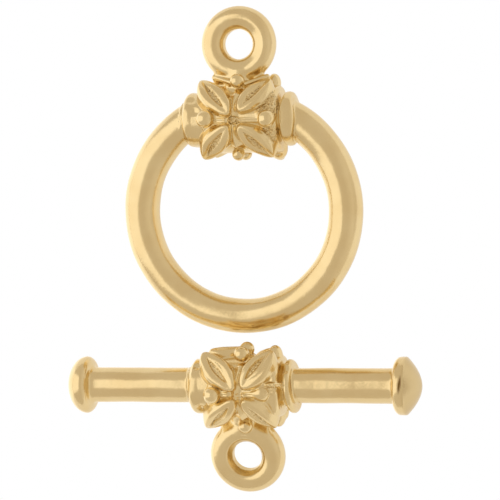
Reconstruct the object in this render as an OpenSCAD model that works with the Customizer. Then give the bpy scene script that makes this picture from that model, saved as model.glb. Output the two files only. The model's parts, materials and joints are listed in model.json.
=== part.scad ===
// Toggle clasp in two cast halves: a ring half and a bar half, lying loose on a flat surface.
// Millimetres. Z is up from the surface, Y points from the bar half to the ring half.
// Each half is first drawn in its own frame, with its plane in XY and its front along Z:
// the ring about its centre with the eye along Y, the bar about its middle with the eye along -Y.

/* [Ring] */
// Diameter of the ring's centreline
ring_mid_d = 14; // [11:0.1:18]
// Diameter of the ring's round tube
tube_d = 2.3; // [1.8:0.05:2.8]
// Distance from the ring's centre to the axis of its wrap
ring_wrap_y = 6.05; // [5.6:0.05:6.4]

/* [Bar] */
// Length over both knobs
bar_len = 24.1; // [18:0.1:32]
// Diameter of the bar's shaft
shaft_d = 2.3; // [1.6:0.05:2.8]
// Diameter of each end knob at its rim
knob_d = 3.8; // [3.2:0.05:4.6]
// Height of a knob's dome beyond its rim
dome_h = 1.1; // [0.8:0.05:1.4]
// Width of a knob's plain rim
rim_w = 0.3; // [0.15:0.05:0.6]
// Length of the cone behind a knob's rim
knob_back = 0.45; // [0.2:0.05:0.8]
// Diameter where that cone meets the neck
knob_root_d = 2.8; // [2.6:0.05:3]
// Length of the flared neck between a knob and the shaft
knob_neck = 0.4; // [0.2:0.05:0.8]

/* [Wrap] */
// Diameter of the wrap's ground, under the flowers
wrap_d = 4.7; // [4.3:0.05:5.2]
// Length of the wrap between its end faces
wrap_len = 4.9; // [4.4:0.05:5.4]
// Chamfer at the wrap's ends
wrap_chamfer = 0.3; // [0.1:0.05:0.5]
// Diameter of the groove between wrap and collar
groove_d = 2.9; // [2.6:0.05:3.1]
// Width of that groove
groove_w = 0.25; // [0.15:0.05:0.4]
// Diameter of each collar
collar_d = 3.4; // [3.2:0.05:3.8]
// Width of each collar
collar_w = 0.9; // [0.7:0.05:1.2]
// Chamfer at a collar's edges
collar_chamfer = 0.15; // [0.05:0.01:0.25]
// Diameter of the thin step outside each collar
step_d = 2.75; // [2.65:0.05:3]
// Width of that step
step_w = 0.25; // [0.15:0.05:0.4]

/* [Flower] */
// Length of a leaf from its inner end to its tip
leaf_len = 3.44; // [3:0.02:3.6]
// Width of a leaf at its middle
leaf_w = 1.04; // [0.8:0.02:1.2]
// Distance of a leaf's middle from the flower's centre, along the wrap
leaf_x = 1.43; // [1.3:0.01:1.5]
// Angle round the wrap from the flower's centre to a leaf's middle
leaf_turn = 40; // [36:1:42]
// Angle of a leaf to the wrap's axis
leaf_slant = 50; // [46:1:54]
// Depth of a leaf's axis below the wrap's ground at its middle, negative when it lies above
leaf_sink = -0.05; // [-0.1:0.01:0.1]
// Width of each of the two grooves along a leaf
leaf_groove_w = 0.2; // [0.12:0.01:0.24]
// Depth of those grooves at the leaf's middle
leaf_groove_depth = 0.2; // [0.12:0.01:0.26]
// Width of the vein that stands between them
vein_w = 0.14; // [0.08:0.01:0.2]
// Diameter of the beads at the flower's sides, beside the collars
side_bead_d = 0.96; // [0.7:0.02:1.1]
// Distance of those beads from the flower's centre
side_bead_x = 2.05; // [1.9:0.01:2.1]
// Diameter of the beads at the flower's top and bottom
end_bead_d = 0.84; // [0.6:0.02:1]
// Angle round the wrap from the flower's centre to those beads
end_bead_turn = 66; // [62:1:70]
// Height of a bead's centre above the wrap's ground
bead_lift = 0.06; // [-0.1:0.01:0.15]
// Diameter of the stems that run from the flower's centre to its beads
stem_d = 0.26; // [0.16:0.02:0.34]

/* [Eye] */
// Outer diameter of each eye
eye_od = 5.05; // [4.8:0.05:5.4]
// Diameter of the hole through each eye
eye_hole_d = 2; // [1.6:0.05:2.3]
// Thickness of each eye
eye_t = 1.6; // [1.3:0.05:2]
// Rounding of an eye's edges
eye_round = 0.5; // [0.3:0.01:0.6]
// Distance from the axis of the ring's wrap to the centre of its eye
ring_eye_y = 5; // [4.85:0.05:5.4]
// Distance from the bar's axis to the centre of its eye
bar_eye_y = 4.8; // [4.7:0.05:5.2]
// Diameter of the root that joins an eye to its wrap, at the wrap
root_d = 3; // [2.4:0.05:3.4]
// Diameter of the root at the eye
root_tip_d = 1.5; // [1.2:0.05:1.6]

/* [Layout] */
// Gap on the surface between the ring's far side and the bar's wrap
lay_gap = 0.75; // [0.4:0.05:6]
// Shift of the ring half to the right of the bar's middle, negative to the left
ring_shift = -0.3; // [-1:0.05:1]

/* [Hidden] */
$fn = 64;

// Pale gold plate
gold = [0.85, 0.73, 0.48];

// Radii and half sizes that several pieces share
ring_r = ring_mid_d / 2;
tube_r = tube_d / 2;
wrap_r = wrap_d / 2;
wrap_end_x = wrap_len / 2;
collar_in_x = wrap_end_x + groove_w;
collar_out_x = collar_in_x + collar_w;
step_out_x = collar_out_x + step_w;
collar_mid_x = (collar_in_x + collar_out_x) / 2;
eye_r = eye_od / 2;
eye_hole_r = eye_hole_d / 2;
rim_out_x = bar_len / 2 - dome_h;
rim_in_x = rim_out_x - rim_w;
knob_root_x = rim_in_x - knob_back;
shaft_end_x = knob_root_x - knob_neck;

// Sphere that caps a knob
dome_r = (pow(knob_d / 2, 2) + pow(dome_h, 2)) / (2 * dome_h);

// A leaf is a spindle: an arc of this radius turned about its chord
leaf_half = leaf_len / 2;
leaf_arc_r = (pow(leaf_half, 2) + pow(leaf_w / 2, 2)) / leaf_w;
leaf_axis_r = wrap_r - leaf_sink;
bead_axis_r = wrap_r + bead_lift;

// Outer corner circles of an eye's rounded section, from its centre and its mid plane
eye_corner_r = eye_r - eye_round;
eye_corner_z = eye_t / 2 - eye_round;

// Reach of a piece of the lower flower below the wrap's axis, when the half leans by an angle
// towards its foot; a leaf's outer side leans with it
function leaf_lean(lean) = sin(leaf_slant) * sin(lean - leaf_turn);
function leaf_reach(lean) = leaf_axis_r * cos(leaf_turn - lean) + leaf_arc_r
    - (leaf_arc_r - leaf_w / 2) * sqrt(1 - pow(leaf_lean(lean), 2));
function bead_reach(lean) = bead_axis_r * cos(lean) + side_bead_d / 2;
function wrap_reach(lean) = max(leaf_reach(lean), bead_reach(lean));

// Lean of each half as it rests: on its lower flower and on the ring's far side or the eye's end.
// Each is found by a few steps from a first guess, because the reach depends on the lean.
function ring_lean(guess, steps) = steps == 0 ? guess
    : ring_lean(asin((wrap_reach(guess) - tube_r) / (ring_r + ring_wrap_y)), steps - 1);
function bar_lean(guess, steps) = steps == 0 ? guess
    : bar_lean(asin((wrap_reach(guess) - eye_round - eye_corner_z * cos(guess))
        / (bar_eye_y + eye_corner_r)), steps - 1);
ring_pitch = ring_lean(6, 12);
bar_pitch = bar_lean(16, 12);

// Heights of the ring's centre and of the bar's axis above the surface
ring_z = ring_r * sin(ring_pitch) + tube_r;
bar_z = wrap_reach(bar_pitch);

// Extent of each half along Y from its own centre, outwards to the eye's end
ring_reach_y = (ring_wrap_y + ring_eye_y + eye_corner_r) * cos(ring_pitch)
    + eye_corner_z * sin(ring_pitch) + eye_round;
bar_reach_y = (bar_eye_y + eye_corner_r) * cos(bar_pitch)
    + eye_corner_z * sin(bar_pitch) + eye_round;

// Radius of the leaf tips, which are the wrap's widest
tip_r = norm([leaf_axis_r, leaf_half * sin(leaf_slant)]);

// Distance between the two centres, and their places with the whole clasp centred along Y
centre_gap = ring_r * cos(ring_pitch) + tube_r + lay_gap + tip_r;
ring_y = (centre_gap + bar_reach_y - ring_reach_y) / 2;
bar_y = ring_y - centre_gap;

// The ring's tube stops inside its collars
tube_end_turn = asin(collar_mid_x / ring_r);

// Spindle along X with its widest point at the origin
module spindle(half, width) {
    arc_r = (half * half + width * width / 4) / width;
    rotate([0, 90, 0])
        rotate_extrude()
            intersection() {
                translate([width / 2 - arc_r, 0]) circle(r = arc_r, $fn = 192);
                translate([0, -half]) square([width, 2 * half]);
            }
}

// One leaf of a flower, towards +X and +Y of a flower that faces +Z: a spindle with two grooves
module leaf() {
    rotate([-leaf_turn, 0, 0])
        translate([leaf_x, 0, leaf_axis_r])
            rotate([0, 0, leaf_slant])
                difference() {
                    spindle(leaf_half, leaf_w);
                    for (way = [-1, 1])
                        translate([
                            0,
                            way * (vein_w + leaf_groove_w) / 2,
                            leaf_w / 2 - leaf_groove_depth + leaf_groove_w / 2
                        ])
                            rotate([0, 90, 0])
                                cylinder(d = leaf_groove_w, h = leaf_len, center = true, $fn = 24);
                }
}

// A bead that stands on the wrap, at a distance along it and an angle round it
module bead(along, turn, diameter) {
    rotate([turn, 0, 0])
        translate([along, 0, bead_axis_r])
            sphere(d = diameter, $fn = 32);
}

// Stem on the ground, straight from the flower's centre to a side bead
module stem() {
    translate([0, 0, wrap_r])
        rotate([0, 90, 0])
            cylinder(d = stem_d, h = side_bead_x, $fn = 24);
}

// A flower that faces +Z: four leaves, four beads and two stems
module flower() {
    for (side = [0, 1])
        mirror([side, 0, 0]) {
            for (end = [0, 1])
                mirror([0, end, 0]) leaf();
            bead(side_bead_x, 0, side_bead_d);
            stem();
        }
    for (way = [-1, 1])
        bead(0, way * end_bead_turn, end_bead_d);
}

// The turned core under the flowers, along X: wrap, grooves, collars and steps
module wrap_core() {
    rotate([0, 90, 0])
        rotate_extrude($fn = 96)
            for (side = [0, 1])
                mirror([0, side])
                    polygon([
                        [0, 0],
                        [wrap_r, 0],
                        [wrap_r, wrap_end_x - wrap_chamfer],
                        [wrap_r - wrap_chamfer, wrap_end_x],
                        [groove_d / 2, wrap_end_x],
                        [groove_d / 2, collar_in_x],
                        [collar_d / 2 - collar_chamfer, collar_in_x],
                        [collar_d / 2, collar_in_x + collar_chamfer],
                        [collar_d / 2, collar_out_x - collar_chamfer],
                        [collar_d / 2 - collar_chamfer, collar_out_x],
                        [step_d / 2, collar_out_x],
                        [step_d / 2, step_out_x],
                        [0, step_out_x]
                    ]);
}

// The wrap with a flower on its front and one on its back
module wrap() {
    wrap_core();
    for (face = [0, 1])
        mirror([0, 0, face]) flower();
}

// The solid of an eye with its rounded edges, without its hole, about the origin
module eye_disc() {
    rotate_extrude($fn = 96) {
        for (face = [-1, 1])
            translate([eye_corner_r, face * eye_corner_z]) circle(r = eye_round, $fn = 48);
        translate([0, -eye_t / 2]) square([eye_corner_r, eye_t]);
        translate([0, -eye_corner_z]) square([eye_r, 2 * eye_corner_z]);
    }
}

// The hole of an eye: a plain bore with rounded mouths
module eye_hole() {
    mouth_r = eye_hole_r + eye_round;
    rotate_extrude($fn = 96)
        difference() {
            translate([0, -eye_t]) square([mouth_r, 2 * eye_t]);
            for (face = [-1, 1])
                translate([mouth_r, face * eye_corner_z]) circle(r = eye_round, $fn = 48);
            translate([eye_hole_r, -eye_corner_z]) square([mouth_r, 2 * eye_corner_z]);
        }
}

// The root from a wrap's axis to the middle of its eye's wall, along +Y
module eye_root(reach) {
    rotate([-90, 0, 0])
        cylinder(d1 = root_d, d2 = root_tip_d, h = reach - (eye_r + eye_hole_r) / 2);
}

// The ring's round tube, open at the top where the wrap sits
module ring_tube() {
    rotate_extrude(angle = 360 - 2 * tube_end_turn, start = 90 + tube_end_turn, $fn = 128)
        translate([ring_r, 0]) circle(d = tube_d, $fn = 48);
}

// The shaft with a domed knob at each end, along X
module bar_shaft() {
    rotate([0, 90, 0])
        rotate_extrude($fn = 96)
            for (side = [0, 1])
                mirror([0, side]) {
                    polygon([
                        [0, 0],
                        [shaft_d / 2, 0],
                        [shaft_d / 2, shaft_end_x],
                        [knob_root_d / 2, knob_root_x],
                        [knob_d / 2, rim_in_x],
                        [knob_d / 2, rim_out_x],
                        [0, rim_out_x]
                    ]);
                    intersection() {
                        translate([0, rim_out_x + dome_h - dome_r]) circle(r = dome_r, $fn = 192);
                        translate([0, rim_out_x]) square([knob_d, dome_h]);
                    }
                }
}

// The ring half, one casting
module ring_half() {
    color(gold)
        translate([ring_shift, ring_y, ring_z])
            rotate([ring_pitch, 0, 0])
                difference() {
                    union() {
                        ring_tube();
                        translate([0, ring_wrap_y, 0]) {
                            wrap();
                            eye_root(ring_eye_y);
                            translate([0, ring_eye_y, 0]) eye_disc();
                        }
                    }
                    translate([0, ring_wrap_y + ring_eye_y, 0]) eye_hole();
                }
}

// The bar half, one casting
module bar_half() {
    color(gold)
        translate([0, bar_y, bar_z])
            rotate([bar_pitch, 0, 0])
                difference() {
                    union() {
                        bar_shaft();
                        wrap();
                        rotate([0, 0, 180]) eye_root(bar_eye_y);
                        translate([0, -bar_eye_y, 0]) eye_disc();
                    }
                    translate([0, -bar_eye_y, 0]) eye_hole();
                }
}

ring_half();
bar_half();
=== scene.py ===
"""Toggle clasp in two gold-plated castings, a ring half and a bar half, lying loose on a white table.

Each half is worked out in millimetres about its wrap, the short barrel that carries the flowers: X runs along
the wrap, Z out of its front, and Y in the half's own plane. The wrap with its flowers, collars and eye is one
rounded solid whose skin is found from a distance field. The ring's tube or the bar's shaft is fused to it.
"""

import json
import math

import bmesh
import bpy
import numpy as np
from mathutils import Matrix, Vector


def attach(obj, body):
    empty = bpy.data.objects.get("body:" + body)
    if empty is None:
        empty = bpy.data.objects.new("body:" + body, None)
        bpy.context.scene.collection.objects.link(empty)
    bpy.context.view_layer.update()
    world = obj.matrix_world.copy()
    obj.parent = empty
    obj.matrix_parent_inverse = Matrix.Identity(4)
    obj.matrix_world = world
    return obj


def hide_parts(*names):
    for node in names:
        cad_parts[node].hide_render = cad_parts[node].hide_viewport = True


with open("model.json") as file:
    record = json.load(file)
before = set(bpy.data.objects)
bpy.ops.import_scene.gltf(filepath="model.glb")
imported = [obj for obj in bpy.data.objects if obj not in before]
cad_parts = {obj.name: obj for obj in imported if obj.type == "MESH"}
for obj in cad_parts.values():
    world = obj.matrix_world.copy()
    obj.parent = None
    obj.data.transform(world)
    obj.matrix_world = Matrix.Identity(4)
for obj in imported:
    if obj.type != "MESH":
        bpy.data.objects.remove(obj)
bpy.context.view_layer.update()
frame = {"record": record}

# Sizes, in millimetres

MM = 0.001

RING_MID_R = 7.0  # centreline of the ring
RING_WRAP_Y = 6.05  # from the ring's centre to the axis of its wrap
TUBE_R = 1.15
TUBE_SWELL = 0.02  # rise and fall of the tube's radius round the ring
TUBE_SWELL_TURN = math.radians(150)  # where it is thickest, at the ring's upper left
TUBE_HIDDEN = 0.3  # the tube runs so far inside the steps beside its collars

BAR_END_X = 11.97  # apex of each knob
KNOB_R = 1.9
KNOB_ROOT_R = 1.4
# Each knob's back, the fillet before it as a share of the left one's, the edge between its rim and its dome,
# and the powers that round the dome: the left one is half an ellipse, the right one nearer a cone
KNOB_COLUMNS = ("back", "fillet", "edge", "dome_power", "whole_power")
KNOBS = {"left": (10.34, 1.0, 10.77, 2.0, 0.5), "right": (10.20, 0.4, 10.99, 1.87, 1.0)}
DOME_SPAN = (0.12, math.pi / 2 - 0.02)  # angles between which the dome's points lie, from edge to apex
KNOB_REACH = 0.52  # the shaft's outline is straight up to so far before a knob's back
# The shaft's swelling into a knob's back and the rounding from there to its rim: along from the back, and out
# from the shaft or from the rim
KNOB_FILLET = ((-0.19, 0.02), (-0.03, 0.12))
KNOB_ROUND = ((0.06, -0.26), (0.17, -0.12), (0.29, -0.03), (0.42, 0.0))
SHAFT_R = 1.15
SHAFT_POINTS = (0, 3, 6, 8.5)  # places along the shaft's outline
SHAFT_PLAIN = 9.3  # half the length that has few rows of faces
SHAFT_KEPT_X = 6  # past it the shaft and knobs keep their turned shape

# Waves left by hand finishing on the tube and the shaft: height, turns round it, pace along it, and phase
WAVES = ((0.006, 3, 1.3, 0), (0.005, 2, -2.1, 1), (0.004, 0, 1.7, 4))

LEAF_BASE_R = 2.1  # the level that the leaves rise from
GROUND_R = {"ring": 2.2, "bar": 2.0}  # the wrap's surface at the sides between its two flowers
GROUND_MID_R = 2.18  # the same under the middle of each flower
GROUND_END_R = 2.0  # the same behind the end beads, where it has fallen away
GROUND_FALL_X = 0.9  # from here outwards it falls, over the next length
GROUND_FALL_RUN = 1.3
FLOWER_DIP = 0.10  # the hollow in a flower's middle
FLOWER_DIP_R = 0.3
WRAP_CORNER = 0.26  # rounding of the wrap's ends
WRAP_ENDS = {"ring": (-2.42, 2.88), "bar": (-2.24, 2.80)}
# Where the ground swells: along the wrap, degrees round it, both spreads and the rise
SWELLS = {
    "ring": [(2.70, -50, 0.30, 18, 0.14), (2.66, 40, 0.30, 16, 0.06), (-1.45, -19, 0.34, 9, 0.22)],
    "bar": [(2.50, -46, 0.36, 22, 0.26), (2.46, 38, 0.40, 22, 0.24)],
}
# Where the wrap's left end stands back between a leaf and the end bead: degrees round, spread and depth
END_DIPS = {"ring": [(-19, 15, 0.52), (22, 12, 0.26)], "bar": [(-17, 13, 0.30), (24, 12, 0.16)]}
GROOVE_R = {"ring": (1.78, 1.36), "bar": (1.74, 1.30)}  # left, and the bottom of the right one
GROOVE_X = {"ring": 2.95, "bar": 3.00}  # the hollow middle of the right groove
GROOVE_HALF_W = 0.3
GROOVE_SLOPE = 1.5  # of its two sides
GROOVE_FLOOR = 0.03  # rounding of its bottom
GROOVE_CORNER = 0.1
# Metal that fills the right groove at the front: degrees round, spread in radians and rise
GROOVE_FILL = {"ring": (-6, 0.45, 0.40), "bar": (-18, 0.14, 0.50)}
COLLAR_X = 3.15  # middle of each collar
STEP_OUT_X = 3.85
TUBE_FILLET = 0.12  # where the tube or shaft leaves a collar

# Collars and the narrow rings beside them: middle, half width, radius, rounding of the edges, swell, fall of
# the radius towards the right for each millimetre, how far the outer edge bulges at the front, the slant, how
# far the collar bows back at the sides, and how far it sits off the axis towards the head
COLLAR_COLUMNS = ("x", "half_w", "r", "corner", "crown", "fall", "bulge", "slant", "bow", "lift")
COLLARS = {
    "ring": [
        (-3.22, 0.46, 1.80, 0.42, 0.06, 0.0, 0.0, 0.0, 0.0, 0.06),
        (-3.80, 0.12, 1.24, 0.06, 0.0, 0.0, 0.0, 0.0, 0.0, 0.0),
        (3.24, 0.26, 1.79, 0.16, 0.05, 0.16, 0.45, 0.0, 0.20, 0.0),
        (3.62, 0.20, 1.48, 0.16, 0.05, 0.0, 0.0, 0.0, 0.0, 0.0),
    ],
    "bar": [
        (-2.92, 0.47, 1.78, 0.40, 0.04, 0.0, 0.0, 0.0, 0.0, -0.10),
        (-3.42, 0.10, 1.25, 0.06, 0.0, 0.0, 0.0, 0.0, 0.0, 0.0),
        (3.34, 0.23, 1.76, 0.20, 0.02, 0.10, 0.0, 0.086, 0.03, -0.04),
    ],
}

# Shallow dents left by the casting beside the collars: along the wrap, degrees round it, distance from the
# axis, size and depth
DENT_COLUMNS = ("x", "turn", "out", "size", "depth")
DENTS = {
    "ring": [(-3.10, -47, 1.85, 0.30, 0.10), (-2.74, -20, 1.80, 0.20, 0.20)],
    "bar": [(-2.80, -60, 1.80, 0.20, 0.16), (-2.60, 44, 1.80, 0.24, 0.24),
            (3.20, -54, 1.75, 0.26, 0.20)],
}

EYE_R = 2.525
EYE_HALF_T = 0.8
EYE_BORE_R = 1.0
EYE_LIP_R = {"ring": 1.62, "bar": 1.38}  # crest between an eye's round outer side and the dish round its hole
EYE_CORNER = 0.78
EYE_DISH = math.radians(30)
EYE_WAIST_HALF = 0.26  # the hole is straight so far from its middle, then flares
EYE_FLARE = math.radians(30)
EYE_DISH_OFF = 0.10  # the dish round each hole sits so far to the right
EYE_EDGE = 0.1  # rounding of its crest and of the hole's edge
EYE_Y = {"ring": 5.0, "bar": -4.8}  # from the wrap's axis to the eye's centre
ROOT_R = 1.5
ROOT_TIP_R = 0.75
NECK_HALF_W = 1.88
NECK_TAPER = 0.35
NECK_CORNER = 0.3
NECK_HALF_T = {"ring": 0.34, "bar": 0.36}
NECK_SHORT = 1.7  # it ends so far short of the eye's centre

# Fillets where two forms meet
EYE_FILLET = {"ring": 0.26, "bar": 0.35}
ROOT_FILLET = 0.25
COLLAR_FILLET = 0.06
BROW_FILLET = 0.24
TIP_FILLET = 0.16
FLOWER_FILLET = 0.10
LEAF_FILLET = 0.05
STEM_FILLET = 0.04
RIDGE_FILLET = 0.03

ARC_R = 2.6  # radius at which angles round the wrap are turned into lengths

# How the rounded solid's skin is made
SKIN_PITCH = 0.063  # spacing of its points
SKIN_MARGIN = 0.2  # room left round the steps' ends
WRAP_REACH = 3.3  # nothing of a wrap lies farther than this from its axis in Y or Z
EYE_REACH = 2.8  # nothing of an eye lies farther from its centre
WELD = 0.012  # points nearer than this become one
SLIVER = 0.002  # edges shorter than this are taken out

# Where a flower can be, so that its field is worked out there alone: along the wrap, from its axis, and
# behind the axis
FLOWER_ZONE_X = 3.4
FLOWER_ZONE_R = (1.5, 3.6)
FLOWER_ZONE_BACK = 1.2
FAR = 1.0  # distance that stands for nothing near
EYE_ZONE = 0.5  # the same for the eye's side, from the axis

# Leaves of the front flowers: where the tip and the inner end lie along the wrap and round it from its front,
# in degrees towards the foot, with the leaf's half width, how deep its panel is cut, its share of the full
# height, and how far the panel sits to the left of the leaf's middle
LEAF_COLUMNS = ("tip_x", "tip_turn", "inner_x", "inner_turn", "half_w", "cut", "rise", "panel_left")
FRONT_LEAVES = {
    "ring": [
        (-2.50, -73.0, -0.08, -6.5, 1.02, 0.24, 1.0, 0.0),
        (2.42, -73.5, 0.42, -11.0, 0.99, 0.20, 1.0, 0.0),
        (-2.32, 68.0, -0.20, 5.5, 1.00, 0.18, 1.0, 0.0),
        (2.64, 64.5, 0.38, 6.5, 0.97, 0.26, 1.0, 0.0),
    ],
    "bar": [
        (-2.34, -68.5, 0.10, -7.5, 1.06, 0.20, 1.0, 0.0),
        (2.50, -74.0, 0.52, -9.5, 1.06, 0.25, 1.0, 0.13),
        (-2.42, 70.5, 0.06, 4.5, 0.95, 0.27, 1.0, 0.0),
        (2.46, 66.0, 0.50, 4.0, 0.84, 0.12, 0.98, 0.0),
    ],
}
BACK_LEAVES = {
    "ring": [
        (-2.30, -64.0, -0.30, -7.5, 0.80, 0.12, 1.0, 0.0),
        (2.00, -68.0, 0.30, -7.5, 0.84, 0.12, 0.9, 0.0),
        (-2.40, 62.0, -0.30, 7.5, 0.80, 0.12, 1.0, 0.0),
        (2.62, 72.0, 0.30, 7.5, 0.84, 0.12, 1.0, 0.0),
    ],
    "bar": [
        (-2.15, -97.0, 0.20, -66.0, 0.86, 0.12, 0.64, 0.0),
        (2.00, -60.0, 0.30, -7.5, 0.84, 0.12, 0.8, 0.0),
        (-2.40, 62.0, -0.30, 7.5, 0.80, 0.12, 1.0, 0.0),
        (2.62, 76.0, 0.30, 7.5, 0.84, 0.12, 1.0, 0.0),
    ],
}

# Height of the leaves' rims above their base level, at their inner ends and tips. The back flowers' are set
# by what the halves rest on.
FRONT_CREST = (0.58, 0.78)
BACK_CREST = {"ring": (0.74, 0.86), "bar": (0.76, 0.60)}

# Beads: along the wrap, round it, distance of the centre from the axis, radius, and the fillet round them
BEAD_COLUMNS = ("x", "turn", "out", "r", "blend")
FRONT_BEADS = {
    "ring": [
        (0.18, -61.8, 2.90, 0.49, 0.06),
        (0.10, 62.5, 2.54, 0.43, 0.06),
        (-1.80, -3.0, 2.40, 0.59, 0.06),
        (2.32, -1.3, 2.34, 0.58, 0.06),
    ],
    "bar": [
        (0.36, -65.5, 2.68, 0.51, 0.06),
        (0.28, 65.0, 2.72, 0.48, 0.06),
        (-1.49, -0.4, 2.40, 0.56, 0.06),
        (1.72, -1.5, 1.80, 0.62, 0.36),
    ],
}
BACK_BEADS = [
    (0.18, -66.0, 2.40, 0.49, 0.06),
    (0.0, 66.0, 2.50, 0.42, 0.06),
    (-2.05, 0.0, 2.41, 0.48, 0.06),
    (2.05, 0.0, 2.41, 0.48, 0.06),
]

# Swollen tips of the back flower's right-hand leaves: centre from the wrap's middle, and half sizes
BACK_TIPS = {
    "ring": [((2.20, 2.36, -0.60), (0.44, 0.64, 0.50)), ((2.40, -1.98, -0.70), (0.56, 0.72, 0.66))],
    "bar": [((2.26, 1.98, -0.30), (0.48, 0.66, 0.60)), ((2.10, -2.16, -0.60), (0.52, 0.84, 0.66))],
}

# Ridges across the foot of the ring's eye: the ends of each, from the wrap's middle
BROWS = {
    "ring": [((-1.66, 2.84, 0.30), (-0.36, 2.46, 0.85)), ((1.92, 2.82, 0.20), (0.55, 2.32, 0.95))],
    "bar": [],
}
BROW_THICK_R = 0.17

# A dark tarnished scratch across the front of the right knob's rim: middle, half sizes and slant
SCRATCH_X, SCRATCH_Y = 10.83, 0.60
SCRATCH_HALF_X, SCRATCH_HALF_Y = 0.11, 0.56
SCRATCH_SLANT = 0.125
SCRATCH_DARK, SCRATCH_FADE = 1.6, 1.3  # strength in its middle, and how fast it fades from there
DOME_SHADE = 0.24  # the right knob's dome is painted a little darker as a whole, painted shade for its dimmer reflection
DOME_SHADE_RUN = 0.3

LEAF_FLANK = 0.48  # run of a leaf's outer slope
LEAF_END_FLANK = 0.28  # the same at its two ends, which are blunt
LEAF_END_FROM, LEAF_END_RUN = 0.35, 0.5  # where that starts and how long it takes, as shares of half a leaf
LEAF_SHOULDER = 2.5  # power that rounds the slope's top
LEAF_STEEP = 1.7  # about the slope of a leaf's sides, which brings the field near a true distance
LEAF_UNDER_R = 1.7  # a leaf's underside, hidden in the wrap, which lifts towards the tip
LEAF_TIP_LIFT = 0.3
LEAF_LIFT_FROM = 0.75
LEAF_EDGE = 0.1
LEAF_LIP = 0.26  # width of its rim's crest, which falls a little inwards
LEAF_LIP_FALL = 0.06
PANEL_REACH = 0.68  # length of its sunk panel, as a share of the leaf's
PANEL_HALF_W = 0.27
PANEL_WALL = (0.12, 0.25)  # run of the slopes down to the panel's bottom, left and right
PANEL_BLEND = 0.2  # width over which the left slope turns into the right one
LEAF_TIP_R = 0.44  # rounding of its outline at both ends

# The twin stems from a flower's middle to each end bead: where they start, how far each lies to the side
# there, how many times that at the bead, their thickness and their height at the bead
STEM_START_X = 0.55
STEM_OFF = 0.09
STEM_SPREAD = 1.3
STEM_R = 0.08
STEM_LIFT = 0.10

# The ridges from a flower's middle to its head and foot beads
RIDGE_HALF_W, RIDGE_GROWTH = 0.12, 0.34  # half width in the middle, and how much it grows up to the outer end
RIDGE_RISE = 0.08
RIDGE_SLOPE, RIDGE_END_SLOPE = 0.75, 0.9  # of its sides and its outer end
RIDGE_STEEP = 1.25  # LEAF_STEEP's counterpart
RIDGE_EDGE = 0.05
RIDGE_REACH = 0.72  # its length, as a share of the way to the bead


# Rounded solids from distance fields


def soft_join(a, b, blend):
    """Union of two solids with a fillet."""
    h = np.clip(0.5 + 0.5 * (b - a) / blend, 0, 1)
    return b + (a - b) * h - blend * h * (1 - h)


def soft_meet(a, b, blend):
    """What two solids share, with a rounded edge."""
    return -soft_join(-a, -b, blend)


def ease(t):
    t = np.clip(t, 0, 1)
    return t * t * (3 - 2 * t)


def box_depth(across, out):
    """Distance from a corner whose two sides lie at nought, negative inside it."""
    return np.hypot(np.maximum(across, 0), np.maximum(out, 0)) + np.minimum(np.maximum(across, out), 0)


def turned_band(x, r, middle, half_w, radius, corner, crown=0.0):
    """A disc or barrel turned about X, with rounded corners and a crowned rim."""
    across = np.abs(x - middle) - (half_w - corner)
    out = r + crown * ((x - middle) / half_w) ** 2 - (radius - corner)
    return box_depth(across, out) - corner


def lens_depth(along, across, half_length, half_w):
    """Distance in from the outline of a pointed oval, negative outside it."""
    arc = (half_length**2 + half_w**2) / (2 * half_w)
    off = arc - half_w
    a, c = np.abs(along), np.abs(across)
    past_tip = (a - half_length) * off > c * half_length
    return np.where(past_tip, -np.hypot(c, a - half_length), arc - np.hypot(c + off, a))


def leaf_field(x, arc, r, row, crest_in, crest_tip):
    """A leaf with steep flanks, a broad rounded rim and a sunk panel, whose tip lifts off the wrap, and how
    far down its panel each point lies."""
    leaf = dict(zip(LEAF_COLUMNS, row))
    tip = np.array([leaf["tip_x"], math.radians(leaf["tip_turn"]) * ARC_R])
    inner = np.array([leaf["inner_x"], math.radians(leaf["inner_turn"]) * ARC_R])
    length = np.linalg.norm(tip - inner)
    way = (tip - inner) / length
    u = (x - inner[0]) * way[0] + (arc - inner[1]) * way[1]
    v = (x - inner[0]) * way[1] - (arc - inner[1]) * way[0]
    t = np.clip(u / length, 0, 1)
    depth = lens_depth(u - length / 2, v, length / 2 - LEAF_TIP_R, leaf["half_w"] - LEAF_TIP_R) + LEAF_TIP_R
    crest = leaf["rise"] * (crest_in + (crest_tip - crest_in) * t)
    blunt = ease((np.abs(2 * t - 1) - LEAF_END_FROM) / LEAF_END_RUN)
    flank = LEAF_FLANK + (LEAF_END_FLANK - LEAF_FLANK) * blunt
    inside = 1 - (1 - np.clip(depth / flank, 0, 1)) ** LEAF_SHOULDER
    rise = np.where(depth < 0, LEAF_SHOULDER * depth / flank, inside)
    fall = LEAF_LIP_FALL * np.clip((depth - flank) / LEAF_LIP, 0, 1) ** 2
    right = math.copysign(1, way[1])
    across = v + leaf["panel_left"] * right
    right_side = ease(0.5 + across * right / PANEL_BLEND)
    wall = PANEL_WALL[0] + (PANEL_WALL[1] - PANEL_WALL[0]) * right_side
    sunk = ease(lens_depth(u - length / 2, across, length / 2 * PANEL_REACH, PANEL_HALF_W) / wall)
    top = LEAF_BASE_R + crest * rise - fall - leaf["cut"] * sunk
    under = LEAF_UNDER_R + LEAF_TIP_LIFT * ease((t - LEAF_LIFT_FROM) / (1 - LEAF_LIFT_FROM))
    return soft_meet((r - top) / LEAF_STEEP, under - r, LEAF_EDGE), sunk


def bead_field(x, y, z, row):
    bead = dict(zip(BEAD_COLUMNS, row))
    turn = math.radians(bead["turn"])
    centre = (bead["x"], -bead["out"] * math.sin(turn), bead["out"] * math.cos(turn))
    return np.sqrt((x - centre[0]) ** 2 + (y - centre[1]) ** 2 + (z - centre[2]) ** 2) - bead["r"]


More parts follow.
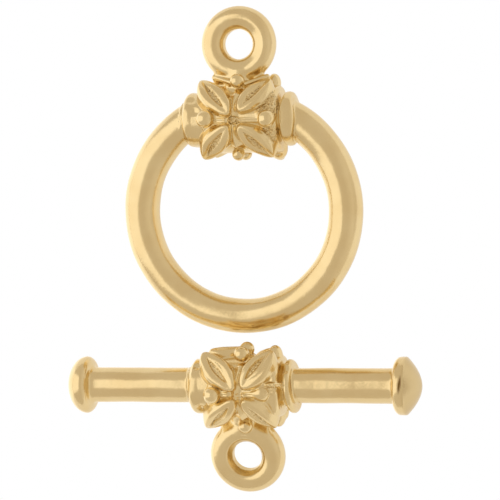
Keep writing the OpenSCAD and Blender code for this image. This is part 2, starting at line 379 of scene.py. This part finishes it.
def bar_between(points, start, end, radius):
    """A round bar between two places."""
    start, end = np.array(start), np.array(end)
    way = end - start
    t = np.clip((points - start) @ way / (way @ way), 0, 1)
    return np.linalg.norm(points - start - t[:, None] * way, axis=1) - radius


def cushion(points, middle, radii):
    """An ellipsoid."""
    near = (points - middle) / radii
    size, slope = np.linalg.norm(near, axis=1), np.linalg.norm(near / radii, axis=1)
    return size * (size - 1) / np.maximum(slope, 1e-6)


def rod_field(x, arc, r, start, end, out, radius):
    """A thin rod on the wrap between two places given along it and round it, each at its own height."""
    start, end = np.array(start), np.array(end)
    way = end - start
    t = np.clip(((x - start[0]) * way[0] + (arc - start[1]) * way[1]) / (way @ way), 0, 1)
    up = r - out[0] - (out[1] - out[0]) * t
    return np.sqrt((x - start[0] - t * way[0]) ** 2 + (arc - start[1] - t * way[1]) ** 2 + up**2) - radius


def ridge_field(x, arc, r, middle_x, reach):
    """The ridge between two leaves, which widens and rises towards the bead at the flower's head or foot."""
    along = np.abs(arc)
    here = np.sign(arc) == np.sign(reach)
    t = along / abs(reach)
    half_w = np.where(here, RIDGE_HALF_W + RIDGE_GROWTH * t, -1)
    side = half_w - np.abs(x - middle_x * t)
    body = (r - GROUND_MID_R - RIDGE_RISE - RIDGE_SLOPE * side) / RIDGE_STEEP
    return soft_meet(body, (along - abs(reach)) * RIDGE_END_SLOPE, RIDGE_EDGE)


def flower_field(x, y, z, leaves, beads, crest_in, crest_tip):
    """A flower that faces +Z: four leaves, the ridges to its first two beads, the twin stems to its last two,
    and the beads."""
    r = np.hypot(y, z)
    arc = np.arctan2(-y, z) * ARC_R
    out = np.full(x.shape, FAR)
    for row in leaves:
        out = soft_join(out, leaf_field(x, arc, r, row, crest_in, crest_tip)[0], LEAF_FILLET)
    for row in beads[2:]:
        for side in (-STEM_OFF, STEM_OFF):
            start, end = (math.copysign(STEM_START_X, row[0]), side), (row[0], side * STEM_SPREAD)
            stem = rod_field(x, arc, r, start, end, (GROUND_MID_R, GROUND_END_R + STEM_LIFT), STEM_R)
            out = soft_join(out, stem, STEM_FILLET)
    for row in beads[:2]:
        reach = math.radians(row[1]) * ARC_R * RIDGE_REACH
        out = soft_join(out, ridge_field(x, arc, r, row[0], reach), RIDGE_FILLET)
    for row in beads:
        out = soft_join(out, bead_field(x, y, z, row), row[BEAD_COLUMNS.index("blend")])
    return out


def eye_field(x, y, z, eye_y, lip):
    """An eye with a round outer side up to a crest and then a shallow dish down to the hole, and the hole."""
    across, up = np.hypot(x, y - eye_y), np.abs(z)
    body = box_depth(across - (EYE_R - EYE_CORNER), up - (EYE_HALF_T - EYE_CORNER)) - EYE_CORNER
    from_dish = np.hypot(x - EYE_DISH_OFF, y - eye_y)
    dish = (up - EYE_HALF_T) * math.cos(EYE_DISH) - (from_dish - lip) * math.sin(EYE_DISH)
    wall = np.maximum(up - EYE_WAIST_HALF, 0) * math.tan(EYE_FLARE)
    return soft_meet(body, dish, EYE_EDGE), (EYE_BORE_R + wall - across) * math.cos(EYE_FLARE)


def root_field(x, y, z, eye_y):
    """Cone from the wrap's axis towards the eye."""
    reach = abs(eye_y) - (EYE_R + EYE_BORE_R) / 2
    along = y * math.copysign(1, eye_y)
    t = np.clip(along / reach, 0, 1)
    slope = (ROOT_R - ROOT_TIP_R) / reach
    side = (np.hypot(x, z) - (ROOT_R + (ROOT_TIP_R - ROOT_R) * t)) / math.hypot(1, slope)
    return np.maximum(side, np.maximum(-along, along - reach))


def neck_field(x, y, z, eye_y, half_t):
    """Flat neck that fills the corners between the wrap and its eye."""
    along = y * math.copysign(1, eye_y)
    reach = abs(eye_y) - NECK_SHORT
    t = np.clip((along - GROUND_MID_R) / (reach - GROUND_MID_R), 0, 1)
    half_w = NECK_HALF_W - NECK_TAPER * ease(t)
    bar = soft_meet(np.abs(x) - half_w, np.abs(z) - half_t, NECK_CORNER)
    return np.maximum(bar, np.maximum(-along, along - reach))


def tube_radius(turn):
    """The ring's tube is a little thicker at its upper left than at its lower right, as cast."""
    return TUBE_R + TUBE_SWELL * np.cos(turn - TUBE_SWELL_TURN)


def unevenness(spin, spot):
    """Slow hand-finished waviness of a tube's surface, in millimetres."""
    return sum(height * np.sin(turns * spin + pace * spot + phase) for height, turns, pace, phase in WAVES)


def long_field(points, half):
    """The ring's tube or the bar's shaft, without its knobs."""
    x, y, z = points.T
    if half == "bar":
        return np.hypot(y, z) - SHAFT_R - unevenness(np.arctan2(z, y), x)
    out = np.hypot(x, y + RING_WRAP_Y) - RING_MID_R
    turn = np.arctan2(y + RING_WRAP_Y, x)
    turn = np.where(turn < math.pi / 2, turn + 2 * math.pi, turn)
    body = np.hypot(out, z) - tube_radius(turn) - unevenness(np.arctan2(z, out), turn * RING_MID_R)
    return np.maximum(body, np.minimum(y, STEP_OUT_X - TUBE_HIDDEN - np.abs(x)))


def ground_radius(x, turn, half):
    """Radius of the wrap under its flowers, which falls away at both ends and dips in the flower's middle."""
    level = GROUND_MID_R + (GROUND_R[half] - GROUND_MID_R) * np.sin(turn) ** 2
    fallen = ease((np.abs(x) - GROUND_FALL_X) / GROUND_FALL_RUN)
    level = level + (GROUND_END_R - level) * fallen * np.cos(turn) ** 2
    degrees = np.degrees(turn)
    for middle, spot, reach, spread, rise in SWELLS[half]:
        level = level + rise * np.exp(-(((x - middle) / reach) ** 2) - ((degrees - spot) / spread) ** 2)
    return level - FLOWER_DIP * np.exp(-(x**2 + (ARC_R * np.sin(turn)) ** 2) / FLOWER_DIP_R**2)


def groove_radius(x, turn, half):
    """The left groove is filled by the casting. The right one is filled only at the front."""
    spot, spread, rise = GROOVE_FILL[half]
    front = np.exp(-(((turn - math.radians(spot)) / spread) ** 2))
    left, right = GROOVE_R[half]
    hollow = right + GROOVE_SLOPE * np.minimum(np.hypot(x - GROOVE_X[half], GROOVE_FLOOR), GROOVE_HALF_W)
    return np.where(x < 0, left, hollow + rise * front)


def wrap_end(x, turn, half):
    """Distance of the wrap's end from its middle on the side of each point."""
    left, right = WRAP_ENDS[half]
    degrees = np.degrees(turn)
    dips = sum(depth * np.exp(-(((degrees - spot) / spread) ** 2)) for spot, spread, depth in END_DIPS[half])
    return np.where(x < 0, -left - dips, right)


def casting_field(points, half):
    """Distance field of a half's wrap with its flowers, collars, root and eye."""
    x, y, z = points.T
    r = np.hypot(y, z)
    turn = np.arctan2(-y, z)
    out = turned_band(x, r, 0, wrap_end(x, turn, half), ground_radius(x, turn, half), WRAP_CORNER)
    core = turned_band(x, r, 0, COLLAR_X, groove_radius(x, turn, half), GROOVE_CORNER)
    out = soft_join(out, core, COLLAR_FILLET)
    for row in COLLARS[half]:
        collar = dict(zip(COLLAR_COLUMNS, row))
        front = np.maximum(np.cos(turn), 0)
        grow = 0.5 * collar["bulge"] * front**2
        along = x + collar["slant"] * y - collar["bow"] * (1 - front) - collar["x"]
        away = np.hypot(y - collar["lift"], z)
        band = turned_band(along, away, grow, collar["half_w"] + grow, collar["r"] - collar["fall"] * along,
                           collar["corner"], collar["crown"])
        out = soft_join(out, band, COLLAR_FILLET)
    for row in DENTS[half]:
        dent = dict(zip(DENT_COLUMNS, row))
        spot = math.radians(dent["turn"])
        middle = (dent["x"], -dent["out"] * math.sin(spot), dent["out"] * math.cos(spot))
        out = out + dent["depth"] * np.exp(-((points - middle) ** 2).sum(1) / dent["size"] ** 2)
    for start, end in BROWS[half]:
        out = soft_join(out, bar_between(points, start, end, BROW_THICK_R), BROW_FILLET)
    for middle, radii in BACK_TIPS[half]:
        out = soft_join(out, cushion(points, middle, radii), TIP_FILLET)

    near = np.flatnonzero((np.abs(x) < FLOWER_ZONE_X) & (r > FLOWER_ZONE_R[0]) & (r < FLOWER_ZONE_R[1]))
    for face, leaves, beads, crest in ((1, FRONT_LEAVES[half], FRONT_BEADS[half], FRONT_CREST),
                                       (-1, BACK_LEAVES[half], BACK_BEADS, BACK_CREST[half])):
        part = near[z[near] * face > -FLOWER_ZONE_BACK]
        flower = flower_field(x[part], y[part], z[part] * face, leaves, beads, *crest)
        out[part] = soft_join(out[part], flower, FLOWER_FILLET)

    eye_y = EYE_Y[half]
    way = math.copysign(1, eye_y)
    part = np.flatnonzero(y * way > EYE_ZONE)
    px, py, pz = x[part], y[part], z[part]
    eye, bore = eye_field(px, py, pz, eye_y, EYE_LIP_R[half])
    body = soft_join(out[part], root_field(px, py, pz, eye_y), ROOT_FILLET)
    body = soft_join(body, neck_field(px, py, pz, eye_y, NECK_HALF_T[half]), ROOT_FILLET)
    out[part] = soft_meet(soft_join(body, eye, EYE_FILLET[half]), bore, EYE_EDGE)
    return out


# Patches of rough ground as cast: middle along the wrap and degrees round it, half sizes and strength
PIT_COLUMNS = ("x", "turn", "half_x", "half_arc", "strength")
PIT_PATCHES = {
    "ring": [(2.30, -24.0, 0.90, 1.55, 0.7), (2.36, 26.0, 0.64, 0.95, 0.6), (0.1, 0.0, 0.5, 0.35, 0.8)],
    "bar": [(2.40, -10.0, 0.45, 0.7, 0.35), (0.3, 0.0, 0.5, 0.25, 0.15)],
}
PIT_FADE = 0.4  # share of a patch over which it fades out
PIT_TOP_R, PIT_TOP_RUN = 2.45, 0.1  # only ground nearer the axis than this is rough
PANEL_PITS = {"ring": 0.6, "bar": 0.4}  # strength in the leaves' panels


def pits_and_pit_shade(points, half):
    """How rough the casting was left at each point: in the leaves' panels and on patches of low ground. The
    same amount also sets the painted shade in the pits' low spots.
    """
    x, y, z = points.T
    r = np.hypot(y, z)
    arc = np.arctan2(-y, z) * ARC_R
    rough = np.zeros(len(x))
    for row in FRONT_LEAVES[half]:
        rough = np.maximum(rough, PANEL_PITS[half] * leaf_field(x, arc, r, row, *FRONT_CREST)[1])
    for row in PIT_PATCHES[half]:
        patch = dict(zip(PIT_COLUMNS, row))
        off_arc = (arc - math.radians(patch["turn"]) * ARC_R) / patch["half_arc"]
        off = np.hypot((x - patch["x"]) / patch["half_x"], off_arc)
        low = ease((PIT_TOP_R - r) / PIT_TOP_RUN)
        rough = np.maximum(rough, patch["strength"] * ease((1 - off) / PIT_FADE) * low)
    return np.where(np.abs(x) < COLLAR_X, rough, 0)


def scratch_and_knob_shade(points, half):
    """How dark the plate is painted at each point: painted shade over the bar's right knob, and the dark
    scratch on its rim.
    """
    if half == "ring":
        return np.zeros(len(points))
    x, y, z = points.T
    off_x = (x - SCRATCH_X - SCRATCH_SLANT * (y - SCRATCH_Y)) / SCRATCH_HALF_X
    off_y = (y - SCRATCH_Y) / SCRATCH_HALF_Y
    scratch = ease(SCRATCH_DARK - SCRATCH_FADE * np.hypot(off_x, off_y)) * (z > 0)
    # The scratch is a mark in the plate itself. The darkening over the knob's dome is painted shade.
    return np.maximum(scratch, DOME_SHADE * ease((x - SCRATCH_X) / DOME_SHADE_RUN))


def evaluate(field, points, chunk=400000):
    """A field's values, worked out piecemeal to spare memory."""
    return np.concatenate([field(points[i : i + chunk]) for i in range(0, len(points), chunk)])


def skin_of(field, low, high, pitch):
    """Points and quads of the skin of a solid: one point in each cell that the surface crosses."""
    axes = [np.arange(a, b + pitch, pitch) for a, b in zip(low, high)]
    shape = tuple(map(len, axes))
    grid = np.stack(np.meshgrid(*axes, indexing="ij"), -1).reshape(-1, 3)
    value = evaluate(field, grid).reshape(shape)
    inside = value < 0
    corners = sum(
        inside[i : shape[0] - 1 + i, j : shape[1] - 1 + j, k : shape[2] - 1 + k].astype(np.int8)
        for i in (0, 1) for j in (0, 1) for k in (0, 1)
    )
    cells = np.argwhere((corners > 0) & (corners < 8))
    number = np.full(corners.shape, -1)
    number[tuple(cells.T)] = np.arange(len(cells))
    total, count = np.zeros((len(cells), 3)), np.zeros(len(cells))
    for axis in range(3):
        others = [a for a in range(3) if a != axis]
        for i in (0, 1):
            for j in (0, 1):
                base = cells.copy()
                base[:, others[0]] += i
                base[:, others[1]] += j
                end = base.copy()
                end[:, axis] += 1
                a, b = value[tuple(base.T)], value[tuple(end.T)]
                cut = (a < 0) != (b < 0)
                spot = base.astype(float)
                spot[cut, axis] += a[cut] / (a[cut] - b[cut])
                total[cut] += spot[cut]
                count[cut] += 1
    points = np.array(low) + total / count[:, None] * pitch

    quads = []
    for axis in range(3):
        b, c = (axis + 1) % 3, (axis + 2) % 3
        first = np.take(inside, range(shape[axis] - 1), axis)
        second = np.take(inside, range(1, shape[axis]), axis)
        edges = np.argwhere(first != second)
        out_along = first[tuple(edges.T)]
        step_b, step_c = np.eye(3, dtype=int)[b], np.eye(3, dtype=int)[c]
        ring = [number[tuple((edges - s).T)] for s in (0 * step_b, step_b, step_b + step_c, step_c)]
        ring = np.stack(ring, 1)
        ring[~out_along] = ring[~out_along][:, ::-1]
        quads.append(ring)
    return points, np.concatenate(quads)


def slope_of(field, points, step=0.004):
    """Gradient of a field, which points out of the solid."""
    return np.stack([(field(points + d) - field(points - d)) / (2 * step) for d in np.eye(3) * step], 1)


def settle(points, field, rounds=3, most=0.03):
    """Moves the points of a skin on to the solid's exact surface."""
    for _ in range(rounds):
        value = field(points)
        slope = slope_of(field, points)
        move = slope * (value / np.maximum((slope**2).sum(1), 0.1))[:, None]
        size = np.linalg.norm(move, axis=1, keepdims=True)
        points = points - move * np.minimum(1, most / np.maximum(size, 1e-9))
    return points


# Tube and shaft


def swept(rows, n):
    """Points and faces of a body from rings of n points each, closed by a fan at each end."""
    points = np.concatenate(rows)
    faces = []
    for i in range(len(rows) - 1):
        for j in range(n):
            k = (j + 1) % n
            faces.append((i * n + j, i * n + k, (i + 1) * n + k, (i + 1) * n + j))
    ends = np.array([rows[0].mean(0), rows[-1].mean(0)])
    first, last = len(points), len(points) + 1
    points = np.concatenate([points, ends])
    base = (len(rows) - 1) * n
    for j in range(n):
        k = (j + 1) % n
        faces.append((first, k, j))
        faces.append((last, base + j, base + k))
    return points, faces


def ring_tube(along=200, around=64):
    """The ring's tube about the wrap, its ends hidden in the collars."""
    hidden = math.asin(COLLAR_X / RING_MID_R)
    rows = []
    for turn in np.linspace(math.pi / 2 + hidden, 2.5 * math.pi - hidden, along):
        way = np.array([math.cos(turn), math.sin(turn), 0])
        spin = -np.linspace(0, 2 * math.pi, around, endpoint=False)
        radius = tube_radius(turn) + unevenness(spin, turn * RING_MID_R)
        rows.append(
            way * RING_MID_R
            + np.outer(radius * np.cos(spin), way)
            + np.outer(radius * np.sin(spin), (0, 0, 1))
            - (0, RING_WRAP_Y, 0)
        )
    return swept(rows, around)


def cut_corners(points, rounds):
    """Rounds the corners of an open line of points, which keeps its two ends."""
    points = np.array(points, float)
    for _ in range(rounds):
        a, b = points[:-1], points[1:]
        cut = np.stack([0.75 * a + 0.25 * b, 0.25 * a + 0.75 * b], 1).reshape(-1, 2)
        points = np.concatenate([points[:1], cut, points[-1:]])
    return points


def bar_profile(side, dome_points=16):
    """Half profile of the bar from its middle to a knob's apex, as distances along and out."""
    knob = dict(zip(KNOB_COLUMNS, KNOBS[side]))
    back, fillet, edge = knob["back"], knob["fillet"], knob["edge"]
    body = [(along, SHAFT_R) for along in (*SHAFT_POINTS, back - KNOB_REACH)]
    body += [(back + along * fillet, SHAFT_R + out) for along, out in KNOB_FILLET]
    body += [(back, KNOB_ROOT_R)]
    body += [(back + along, KNOB_R + out) for along, out in KNOB_ROUND]
    body += [(edge, KNOB_R)]
    dome = []
    for out in KNOB_R * np.cos(np.linspace(*DOME_SPAN, dome_points)):
        fall = 1 - (out / KNOB_R) ** knob["dome_power"]
        dome.append((edge + (BAR_END_X - edge) * fall ** knob["whole_power"], out))
    return cut_corners(body + dome, 3)


def bar_shaft(around=72, shaft_rows=50, knob_rows=70):
    """The shaft with its two knobs, as one turned body."""
    sides = []
    for side in ("left", "right"):
        line = bar_profile(side)
        lengths = np.concatenate([[0], np.cumsum(np.linalg.norm(np.diff(line, axis=0), axis=1))])
        shaft = np.linspace(0, SHAFT_PLAIN, shaft_rows, endpoint=False)
        even = np.concatenate([shaft, np.linspace(SHAFT_PLAIN, lengths[-1], knob_rows)])
        along, out = (np.interp(even, lengths, column) for column in line.T)
        sides.append(np.stack([along, out], 1))
    line = np.concatenate([sides[0][::-1] * (-1, 1), sides[1][1:]])
    spin = np.linspace(0, 2 * math.pi, around, endpoint=False)
    rows = []
    for along, out in line:
        radius = out + unevenness(spin, along) * min(1, out / SHAFT_R)
        rows.append(np.stack([np.full(around, along), radius * np.cos(spin), radius * np.sin(spin)], 1))
    return swept(rows, around)


# Meshes


def placed(origin, right, up, towards):
    """Matrix of a thing at a place, from the directions of its own X, Y and Z."""
    return Matrix.Translation(origin) @ Matrix((right, up, towards)).transposed().to_4x4()


def half_place(half):
    """Matrix that turns a half's own millimetres into the frame's metres. The eye's mount gives the lean."""
    mount = next(m for m in frame["record"]["mounts"] if m["name"] == half + "_eye")
    front = Vector(mount["axis"]).normalized()
    side = Vector((1, 0, 0))
    own_y = front.cross(side)
    origin = Vector(mount["pos_m"]) - own_y * EYE_Y[half] * MM
    return placed(origin, side, own_y, front) @ Matrix.Scale(MM, 4)


def as_object(name, points, faces):
    mesh = bpy.data.meshes.new(name)
    mesh.from_pydata(np.asarray(points).tolist(), [], faces)
    mesh.validate()
    piece = bpy.data.objects.new(name, mesh)
    bpy.context.scene.collection.objects.link(piece)
    return piece


def fused(piece, other):
    """One body of the two, which replaces them both."""
    join = piece.modifiers.new("join", "BOOLEAN")
    join.object, join.operation, join.solver = other, "UNION", "MANIFOLD"
    bpy.context.view_layer.update()
    mesh = bpy.data.meshes.new_from_object(piece.evaluated_get(bpy.context.evaluated_depsgraph_get()))
    piece.modifiers.clear()
    clean = bmesh.new()
    clean.from_mesh(mesh)
    bmesh.ops.remove_doubles(clean, verts=clean.verts, dist=WELD)
    bmesh.ops.dissolve_degenerate(clean, edges=clean.edges, dist=SLIVER)
    clean.to_mesh(mesh)
    clean.free()
    piece.data = mesh
    bpy.data.objects.remove(other)
    return piece


def casting(half, finish):
    """Makes a whole half as one closed body in the frame's metres."""

    def field(points):
        return casting_field(points, half)

    def whole(points):
        return soft_join(casting_field(points, half), long_field(points, half), TUBE_FILLET)

    eye_y = EYE_Y[half]
    low = (-STEP_OUT_X - SKIN_MARGIN, min(-WRAP_REACH, eye_y - EYE_REACH), -WRAP_REACH)
    high = (STEP_OUT_X + SKIN_MARGIN, max(WRAP_REACH, eye_y + EYE_REACH), WRAP_REACH)
    points, quads = skin_of(field, low, high, SKIN_PITCH)
    piece = as_object(half + "_casting", settle(points, field), quads.tolist())
    long_part = ring_tube() if half == "ring" else bar_shaft()
    piece = fused(piece, as_object(half + "_tube", *long_part))
    mesh = piece.data
    points = np.zeros(len(mesh.vertices) * 3)
    mesh.vertices.foreach_get("co", points)
    points = points.reshape(-1, 3)
    near = np.abs(points[:, 0]) < SHAFT_KEPT_X if half == "bar" else np.full(len(points), True)
    points[near] = settle(points[near], whole)
    mesh.vertices.foreach_set("co", points.ravel())
    for name, amount in (("pits_and_pit_shade", pits_and_pit_shade), ("scratch_and_knob_shade", scratch_and_knob_shade)):
        mesh.attributes.new(name, "FLOAT", "POINT").data.foreach_set("value", amount(points, half))
    normals = np.zeros(points.shape)
    normals[near] = slope_of(whole, points[near])
    normals[near] /= np.linalg.norm(normals[near], axis=1, keepdims=True)
    mesh.shade_smooth()
    place = half_place(half)
    mesh.transform(place)
    turned = normals @ np.array(place.to_3x3().normalized()).T
    mesh.normals_split_custom_set_from_vertices(turned.tolist())
    mesh.materials.clear()
    mesh.materials.append(finish)
    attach(piece, "root")
    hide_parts(half + "_half")


# Finishes


def linear(colour):
    """sRGB hex to linear RGBA."""
    parts = [int(colour[i : i + 2], 16) / 255 for i in (1, 3, 5)]
    return [p / 12.92 if p <= 0.04045 else ((p + 0.055) / 1.055) ** 2.4 for p in parts] + [1]


def new_material(name):
    """A material without nodes, and its tree."""
    made = bpy.data.materials.new(name)
    made.use_nodes = True
    made.node_tree.nodes.clear()
    return made, made.node_tree


def add(tree, kind, settings=None, numbered=None, **links):
    """Adds a node, sets its properties and input values, and links its inputs, numbered or named, to the
    given sockets."""
    node = tree.nodes.new(kind)
    for key, value in (settings or {}).items():
        if key in node.inputs:
            node.inputs[key].default_value = value
        else:
            setattr(node, key, value)
    for number, socket in (numbered or {}).items():
        tree.links.new(socket, node.inputs[number])
    for key, socket in links.items():
        tree.links.new(socket, node.inputs[key.replace("_", " ")])
    return node


# Patterns in the plate: size in millimetres, and detail and roughness of the noise
PATTERNS = {
    "cloud": (1.6, 2.0, 0.5),
    "wave": (0.9, 1.0, 0.4),
    "grain": (0.16, 4.0, 0.6),
    "pit": (0.17, 2.0, 0.6),
}
WAVE_HIGH, GRAIN_HIGH, PIT_HIGH = 0.02, 0.006, 0.26  # in millimetres


def tumbled_gold_plate():
    """Pale gold plate on cast pewter, tumbled bright: soft wide reflections, with faint pits and waves from
    the casting, painted shade in the pits' low spots, and painted shade with a dark scratch on the bar's
    right knob."""
    made, tree = new_material("tumbled_gold_plate")
    place = add(tree, "ShaderNodeTexCoord").outputs["Object"]
    rough = add(tree, "ShaderNodeAttribute", {"attribute_name": "pits_and_pit_shade"}).outputs["Fac"]
    dark = add(tree, "ShaderNodeAttribute", {"attribute_name": "scratch_and_knob_shade"}).outputs["Fac"]
    noise = {}
    for name, (size, detail, roughness) in PATTERNS.items():
        settings = {"Scale": 1 / (size * MM), "Detail": detail, "Roughness": roughness}
        noise[name] = add(tree, "ShaderNodeTexNoise", settings, Vector=place).outputs["Fac"]

    tone = add(tree, "ShaderNodeValToRGB", Fac=noise["cloud"])
    tone.color_ramp.elements[0].position, tone.color_ramp.elements[1].position = 0.35, 0.65
    tone.color_ramp.elements[0].color = linear("#EAD3A0")
    tone.color_ramp.elements[1].color = linear("#EED9A8")
    # Painted shade: where the plate is pitted, the low spots of the pit noise are mixed towards a darker gold
    low = add(tree, "ShaderNodeMapRange", {"From Min": 0.52, "From Max": 0.38}, Value=noise["pit"])
    shade = add(tree, "ShaderNodeMath", {"operation": "MULTIPLY"}, {0: low.outputs["Result"], 1: rough})
    pit_shaded = add(tree, "ShaderNodeMix", {"data_type": "RGBA"}, {0: shade.outputs[0], 6: tone.outputs["Color"]})
    pit_shaded.inputs[7].default_value = linear("#CDB075")
    # Painted shade over the bar's right knob, and the dark scratch on its rim, mixed towards dark brown
    turned = add(tree, "ShaderNodeMix", {"data_type": "RGBA"}, {0: dark, 6: pit_shaded.outputs[2]})
    turned.inputs[7].default_value = linear("#7A5C2C")

    waved = add(tree, "ShaderNodeBump", {"Strength": 1.0, "Distance": WAVE_HIGH * MM}, Height=noise["wave"])
    grained = add(tree, "ShaderNodeBump", {"Strength": 1.0, "Distance": GRAIN_HIGH * MM},
                  Height=noise["grain"], Normal=waved.outputs["Normal"])
    depth = add(tree, "ShaderNodeMath", {"operation": "MULTIPLY"}, {0: noise["pit"], 1: rough})
    pitted = add(tree, "ShaderNodeBump", {"Strength": 1.0, "Distance": PIT_HIGH * MM},
                 Height=depth.outputs[0], Normal=grained.outputs["Normal"])

    dull = add(tree, "ShaderNodeMapRange", {"To Min": 0.2, "To Max": 0.3}, Value=rough)
    metal = add(tree, "ShaderNodeBsdfPrincipled", {"Metallic": 1.0}, Base_Color=turned.outputs[2],
                Roughness=dull.outputs["Result"], Normal=pitted.outputs["Normal"])
    add(tree, "ShaderNodeOutputMaterial", Surface=metal.outputs["BSDF"])
    return made


TABLE_GLOW = 0.40  # how bright the metal sees the table, against white


def white_table():
    """Backlit glossy acrylic: pure white to the eye, while the metal mirrors its glow and the softbox's."""
    made, tree = new_material("backlit_white_acrylic")
    seen = add(tree, "ShaderNodeLightPath").outputs["Is Camera Ray"]
    white = add(tree, "ShaderNodeEmission", {"Color": linear("#FFFFFF"), "Strength": 1.0}).outputs[0]
    glow = add(tree, "ShaderNodeEmission", {"Color": linear("#FFFFFF"), "Strength": TABLE_GLOW}).outputs[0]
    gloss = add(tree, "ShaderNodeBsdfGlossy", {"Color": linear("#E4E4E4"), "Roughness": 0.3}).outputs[0]
    mirrored = add(tree, "ShaderNodeAddShader", None, {0: glow, 1: gloss}).outputs[0]
    both = add(tree, "ShaderNodeMixShader", None, {0: seen, 1: mirrored, 2: white})
    add(tree, "ShaderNodeOutputMaterial", Surface=both.outputs[0])
    return made


# The clasp

gold = tumbled_gold_plate()
casting("ring", gold)
casting("bar", gold)

# Table, camera and light

TABLE_HALF = 1.5
corners = [(x * TABLE_HALF, y * TABLE_HALF, 0) for x, y in ((-1, -1), (1, -1), (1, 1), (-1, 1))]
table = as_object("table", corners, [(0, 1, 2, 3)])
table.data.materials.append(white_table())

# The camera stands off the vertical, a little to the right and towards the foot, with a long lens.
CAMERA_RIGHT = math.radians(15)
CAMERA_FOOT = math.radians(4)
CAMERA_ROLL = math.radians(0.486)
CAMERA_MM = 166.0  # from the target
TARGET = Vector((0.163, -0.016, 2.0)) * MM
MM_PER_PIXEL = 0.06636  # at the target
FRAME_PIXELS = 500
SENSOR_MM = 36

back = Vector((math.tan(CAMERA_RIGHT), -math.tan(CAMERA_FOOT), 1)).normalized()
right = Vector((0, 1, 0)).cross(back).normalized()
up = back.cross(right)
right, up = (math.cos(CAMERA_ROLL) * right + math.sin(CAMERA_ROLL) * up,
             math.cos(CAMERA_ROLL) * up - math.sin(CAMERA_ROLL) * right)
camera = bpy.data.objects.new("camera", bpy.data.cameras.new("camera"))
bpy.context.scene.collection.objects.link(camera)
camera.matrix_world = placed(TARGET + back * CAMERA_MM * MM, right, up, back)
camera.data.sensor_width = SENSOR_MM
camera.data.lens = SENSOR_MM * CAMERA_MM / MM_PER_PIXEL / FRAME_PIXELS
camera.data.clip_start, camera.data.clip_end = 0.01, 10
bpy.context.scene.camera = camera


def softbox(name, right_deg, head_deg, distance, width, height, radiance):
    """A rectangular light that faces the clasp from so many degrees off overhead, to the right and towards
    the head. Its width runs from left to right and its height from foot to head, in metres."""
    light = bpy.data.lights.new(name, "AREA")
    light.shape, light.size, light.size_y = "RECTANGLE", width, height
    light.energy = radiance * math.pi * width * height
    holder = bpy.data.objects.new(name, light)
    bpy.context.scene.collection.objects.link(holder)
    way = Vector((math.tan(math.radians(right_deg)), math.tan(math.radians(head_deg)), 1)).normalized()
    long_side = Vector((0, 1, 0)).cross(way).normalized()
    holder.matrix_world = placed(way * distance, long_side, way.cross(long_side), way)
    holder.visible_camera = False


# One large softbox over the left, from nearly overhead down to the table, seen against the cream tent
softbox("left_softbox", right_deg=-50.5, head_deg=4, distance=0.5, width=0.78, height=0.55, radiance=0.52)

# Cream cloth all round, a little brighter low on the right, where the softbox lights it
world = bpy.data.worlds.new("tent")
bpy.context.scene.world = world
world.use_nodes = True
world.node_tree.nodes.clear()
sky = add(world.node_tree, "ShaderNodeTexCoord").outputs["Generated"]
side = add(world.node_tree, "ShaderNodeSeparateXYZ", Vector=sky).outputs["X"]
cloth = add(world.node_tree, "ShaderNodeValToRGB", Fac=side)
for spot, colour in ((0.45, "#D6CBBD"), (0.90, "#E4DBCF"), (0.97, "#DAD0C3")):
    stop = cloth.color_ramp.elements.new(spot)
    stop.color = linear(colour)
cloth.color_ramp.elements.remove(cloth.color_ramp.elements[0])
cloth.color_ramp.elements.remove(cloth.color_ramp.elements[-1])
tent = add(world.node_tree, "ShaderNodeBackground", {"Strength": 1.0}, Color=cloth.outputs["Color"])
add(world.node_tree, "ShaderNodeOutputWorld", Surface=tent.outputs["Background"])

bpy.context.scene.view_settings.view_transform = "Standard"
bpy.context.scene.view_settings.look = "None"
